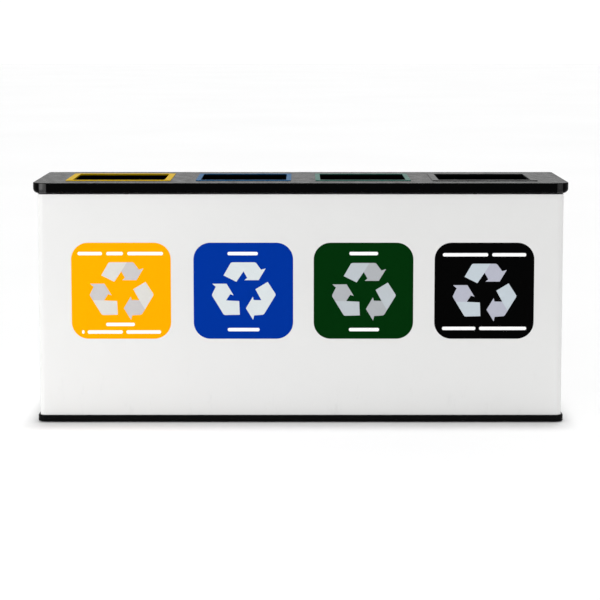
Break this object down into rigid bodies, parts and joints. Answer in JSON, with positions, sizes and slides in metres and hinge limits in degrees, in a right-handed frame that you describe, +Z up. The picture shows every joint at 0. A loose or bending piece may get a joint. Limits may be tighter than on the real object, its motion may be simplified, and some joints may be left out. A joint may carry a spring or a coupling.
{
  "type": "recycling bin station",
  "caption": "Long free-standing steel recycling station on a black plinth, with a hinged black lid, colour-framed openings and lift-out inner bins behind matching front labels.",
  "frame": {"origin": "middle of the footprint, on the floor", "axes": "+X to the right seen from the front, the front faces -Y, +Z up"},
  "size_m": [1.324, 0.354, 0.6],
  "materials": {
    "white_steel": "white satin powder coat with a fine texture",
    "lid_plastic": "black satin moulding with a fine grain",
    "plinth_plastic": "black satin moulding",
    "zinc_steel": "zinc-coated sheet",
    "rail_steel": "black powder coat",
    "hinge_steel": "black-coated steel",
    "fixing_steel": "plain steel",
    "ring_steel": "bright zinc wire",
    "rubber": "black rubber",
    "bin_plastic": "dark grey moulding",
    "frame_yellow": "satin yellow",
    "frame_blue": "satin blue",
    "frame_green": "satin green",
    "frame_black": "satin black",
    "label_yellow": "yellow vinyl",
    "label_blue": "blue vinyl",
    "label_green": "dark green vinyl",
    "label_black": "black vinyl"
  },
  "bodies": {
    "station": {"base_plinth": "plinth_plastic", "body_wrap": "white_steel", "divider_1": "zinc_steel", "divider_2": "zinc_steel", "divider_3": "zinc_steel", "floor_plate": "zinc_steel", "foot_11": "rubber", "foot_12": "rubber", "foot_13": "rubber", "foot_21": "rubber", "foot_22": "rubber", "foot_23": "rubber", "hinge_1_body_leaf": "hinge_steel", "hinge_1_pin": "hinge_steel", "hinge_2_body_leaf": "hinge_steel", "hinge_2_pin": "hinge_steel", "hinge_3_body_leaf": "hinge_steel", "hinge_3_pin": "hinge_steel", "hinge_rivets_body": "fixing_steel", "label_black": "label_black", "label_blue": "label_blue", "label_green": "label_green", "label_yellow": "label_yellow", "lid_bumpers": "rubber", "plinth_screws": "fixing_steel", "rear_panel": "white_steel", "rear_rivets": "fixing_steel", "top_frame": "zinc_steel"},
    "lid": {"hinge_1_lid_leaf": "hinge_steel", "hinge_2_lid_leaf": "hinge_steel", "hinge_3_lid_leaf": "hinge_steel", "hinge_rivets_lid": "fixing_steel", "lid_rail_front": "rail_steel", "lid_rail_rear": "rail_steel", "lid_shell": "lid_plastic", "opening_frame_black": "frame_black", "opening_frame_blue": "frame_blue", "opening_frame_green": "frame_green", "opening_frame_yellow": "frame_yellow", "rail_rivets": "fixing_steel"},
    "bin_yellow": {"bag_ring_yellow": "ring_steel", "inner_bin_yellow": "bin_plastic"},
    "bin_blue": {"bag_ring_blue": "ring_steel", "inner_bin_blue": "bin_plastic"},
    "bin_green": {"bag_ring_green": "ring_steel", "inner_bin_green": "bin_plastic"},
    "bin_black": {"bag_ring_black": "ring_steel", "inner_bin_black": "bin_plastic"}
  },
  "joints": [
    {"name": "lid_hinge", "type": "hinge", "parent": "station", "child": "lid", "pos_m": [0, 0.1715, 0.5665], "axis": [-1, 0, 0], "range_deg": [0, 95]},
    {"name": "lift_yellow_bin", "type": "slide", "parent": "station", "child": "bin_yellow", "axis": [0, 0, 1], "range_m": [0, 0.05]},
    {"name": "lift_blue_bin", "type": "slide", "parent": "station", "child": "bin_blue", "axis": [0, 0, 1], "range_m": [0, 0.05]},
    {"name": "lift_green_bin", "type": "slide", "parent": "station", "child": "bin_green", "axis": [0, 0, 1], "range_m": [0, 0.05]},
    {"name": "lift_black_bin", "type": "slide", "parent": "station", "child": "bin_black", "axis": [0, 0, 1], "range_m": [0, 0.05]}
  ]
}
